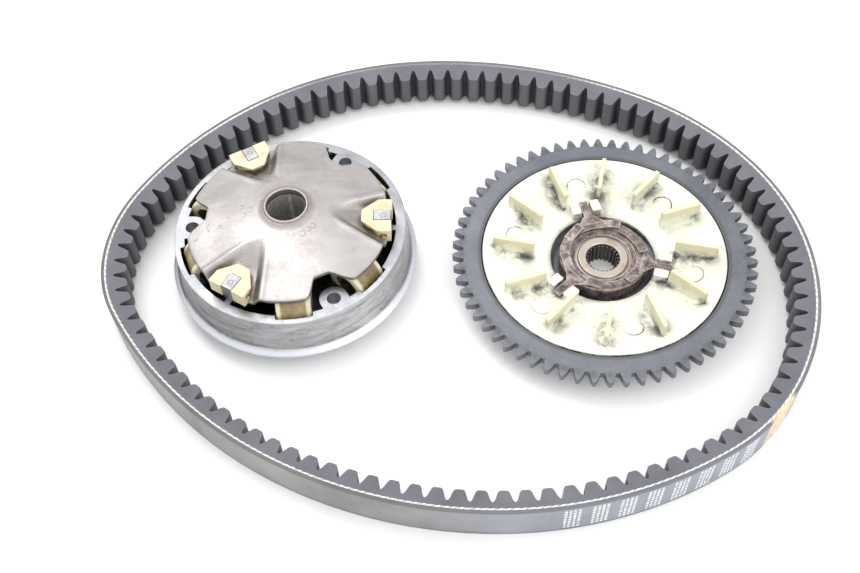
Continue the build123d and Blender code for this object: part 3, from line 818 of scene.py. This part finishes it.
def make_post_marks(material):
    """Small raised ring on each post."""
    profile = ((1.15, -0.1), (1.1, 0.1), (0.95, 0.16), (0.8, 0.1), (0.75, -0.1))
    ring = [(radius * MM, height * MM) for radius, height in profile]
    for number in range(3):
        turn = radians(POST_START + 120 * number)
        radius = POST_RADIUS + 0.3 * MM
        center = Vector((variator_axis.x, variator_axis.y, POST_TOP))
        center += Vector((cos(turn), sin(turn), 0)) * radius
        lathe(f"post_ring_{number + 1}", ring, center, (0, 0, 1), 32, material, "housing")


# ---------------------------------------------------------------- finishing CAD nodes

def finish_node(name, material, bevel=0.0, segments=2, angle=35):
    """Give a carried-over CAD node its material and softly broken edges."""
    piece = frame["nodes"][name]
    piece.data.materials.clear()
    piece.data.materials.append(material)
    if bevel:
        weld = piece.modifiers.new("weld", "WELD")
        weld.merge_threshold = 0.000004
        edge = piece.modifiers.new("bevel", "BEVEL")
        edge.width = bevel
        edge.segments = segments
        edge.limit_method = "ANGLE"
        edge.angle_limit = radians(angle)
        edge.use_clamp_overlap = True
        edge.harden_normals = False
        edge.miter_outer = "MITER_ARC"


# ---------------------------------------------------------------- stage, light and camera

def make_stage():
    mesh = bpy.data.meshes.new("floor")
    size = 3.0
    corners = [(-size, -size, 0), (size, -size, 0), (size, size, 0), (-size, size, 0)]
    mesh.from_pydata(corners, [], [(0, 1, 2, 3)])
    floor_piece = bpy.data.objects.new("floor", mesh)
    bpy.context.scene.collection.objects.link(floor_piece)
    m = Paint("floor_paper", Roughness=0.5)
    m.into("Base Color", m.ramp(m.noise(9, 4), (0.3, (0.86, 0.86, 0.86)), (0.7, (0.9, 0.9, 0.9))))
    mesh.materials.append(m.material)


def area_light(name, place, aim, size, power):
    light = bpy.data.lights.new(name, "AREA")
    light.shape = "DISK"
    light.size = size
    light.energy = power
    lamp = bpy.data.objects.new(name, light)
    bpy.context.scene.collection.objects.link(lamp)
    lamp.location = place
    lamp.rotation_mode = "QUATERNION"
    lamp.rotation_quaternion = (Vector(aim) - Vector(place)).to_track_quat("-Z", "Y")


def make_light():
    """Soft sky, brightest overhead and a little brighter towards the front, with two large lamps."""
    strength_at_horizon, strength_overhead, front_gain = 1.0, 1.35, -0.15
    world = bpy.data.worlds.new("soft_sky")
    world.use_nodes = True
    nodes, links = world.node_tree.nodes, world.node_tree.links
    background = nodes["Background"]
    background.inputs["Color"].default_value = (1, 1, 1, 1)
    split = nodes.new("ShaderNodeSeparateXYZ")
    links.new(nodes.new("ShaderNodeTexCoord").outputs["Generated"], split.inputs[0])
    upward = nodes.new("ShaderNodeMapRange")
    upward.inputs["From Max"].default_value = 1.0
    upward.inputs["To Min"].default_value = strength_at_horizon
    upward.inputs["To Max"].default_value = strength_overhead
    links.new(split.outputs[2], upward.inputs["Value"])
    front = nodes.new("ShaderNodeMath")
    front.operation = "MULTIPLY_ADD"
    front.inputs[1].default_value = front_gain
    links.new(split.outputs[1], front.inputs[0])
    links.new(upward.outputs["Result"], front.inputs[2])
    links.new(front.outputs[0], background.inputs["Strength"])
    bpy.context.scene.world = world
    area_light("key", (-0.25, 0.35, 0.75), (0, 0, 0), 0.5, 3)
    area_light("fill", (0.5, -0.4, 0.7), (0, 0, 0), 0.7, 2.5)
    bpy.context.scene.view_settings.view_transform = "Standard"


def make_camera():
    """Looks down from the front at 55 degrees, turned a little, as a hand-held shot."""
    elevation, roll = radians(55.047), radians(-2.5)
    aim = Vector((-0.01009, -0.01124, 0.0135))
    distance = 0.42602
    forward = Vector((0, cos(elevation), -sin(elevation)))
    level = Vector((1, 0, 0))
    raised = Vector((0, sin(elevation), cos(elevation)))
    right = cos(roll) * level + sin(roll) * raised
    up = -sin(roll) * level + cos(roll) * raised
    data = bpy.data.cameras.new("camera")
    data.lens = 46.45
    data.sensor_width = 36.0
    data.clip_start, data.clip_end = 0.01, 10
    camera = bpy.data.objects.new("camera", data)
    bpy.context.scene.collection.objects.link(camera)
    camera.matrix_world = Matrix((
        (right.x, up.x, -forward.x, aim.x - distance * forward.x),
        (right.y, up.y, -forward.y, aim.y - distance * forward.y),
        (right.z, up.z, -forward.z, aim.z - distance * forward.z),
        (0, 0, 0, 1)))
    bpy.context.scene.camera = camera


make_camera()
make_light()
make_stage()
make_belt()
make_ramp_plate()
aluminium = cast_aluminium()
hub_finish = hub_steel()
ivory = slider_plastic()
ivory_fan = fan_plastic()
make_rollers(roller_nylon(), roller_core())
make_post_marks(aluminium)
finish_node("variator_housing", aluminium, 0.22 * MM)
finish_node("variator_bush", bronze())
finish_node("guide_tube", ground_steel(), 0.3 * MM)
for number in (1, 2, 3):
    finish_node(f"slider_guide_{number}", ivory, 0.6 * MM, 3)
finish_node("fixed_face", dark_steel(), 0.25 * MM)
finish_node("spline_hub", hub_finish, 0.15 * MM)
finish_node("hub_washer", hub_finish)
finish_node("fan", ivory_fan, 0.3 * MM)
finish_node("fan_vanes", ivory_fan, 0.35 * MM, 3)
finish_node("kick_crown", worn_steel(), 0.35 * MM, 3)
